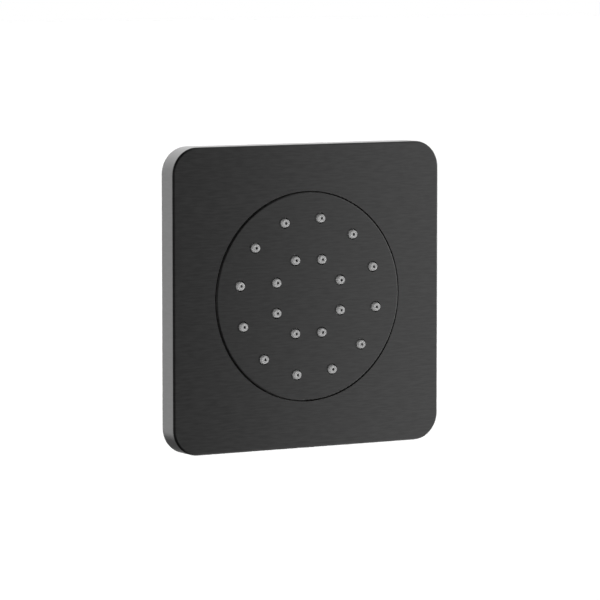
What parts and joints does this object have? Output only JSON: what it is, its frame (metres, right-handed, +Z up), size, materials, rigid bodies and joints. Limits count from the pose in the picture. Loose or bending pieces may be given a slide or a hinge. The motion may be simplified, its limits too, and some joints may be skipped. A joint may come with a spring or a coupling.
{
  "type": "shower head",
  "caption": "Square flush wall shower head for body spray: brushed black plate and a round spray face with grey silicone nozzles, which tilts and turns on a hidden ball joint",
  "frame": {"origin": "centre of the plate's back, in the plane of the finished wall", "axes": "+Z up, +X to the right seen from the front, +Y into the wall; the spray leaves along -Y"},
  "size_m": [0.124, 0.063, 0.124],
  "materials": {
    "black_metal": "brushed, black coated",
    "stainless_sheet": "pressed sheet, mill finish",
    "foam": "closed-cell foam",
    "dark_steel": "blackened",
    "plain_steel": "plain stainless",
    "brass": "turned",
    "chromed_brass": "polished",
    "red_fibre": "pressed fibre",
    "white_acetal": "moulded",
    "black_plastic": "moulded",
    "black_rubber": "moulded",
    "grey_silicone": "moulded, matt"
  },
  "bodies": {
    "wall_set": {"escutcheon": "black_metal", "mounting_bracket": "stainless_sheet", "recess_cup": "stainless_sheet", "wall_gasket": "foam", "grub_screw": "dark_steel", "inlet_nipple": "brass", "swivel_ball": "chromed_brass", "front_lock_nut": "brass", "back_nut": "brass", "fibre_washer": "red_fibre", "flow_regulator": "white_acetal", "regulator_o_ring": "black_rubber", "inlet_filter": "white_acetal"},
    "slip_carrier": {"slip_ring": "white_acetal"},
    "seal_carrier": {"ball_seal": "black_rubber"},
    "spray_head": {"swivel_nut": "brass", "head_housing": "black_plastic", "chamber_o_ring": "black_rubber", "jet_plate": "black_plastic", "nozzle_mat": "grey_silicone", "face_plate": "black_metal", "head_screws": "plain_steel"}
  },
  "joints": [
    {"name": "tilt_up_down", "type": "hinge", "parent": "wall_set", "child": "slip_carrier", "pos_m": [0, 0.0063, 0], "axis": [1, 0, 0], "range_deg": [-10, 10]},
    {"name": "tilt_left_right", "type": "hinge", "parent": "slip_carrier", "child": "seal_carrier", "pos_m": [0, 0.0063, 0], "axis": [0, 0, 1], "range_deg": [-10, 10]},
    {"name": "spin", "type": "hinge", "parent": "seal_carrier", "child": "spray_head", "pos_m": [0, 0.0063, 0], "axis": [0, 1, 0], "continuous": true}
  ]
}
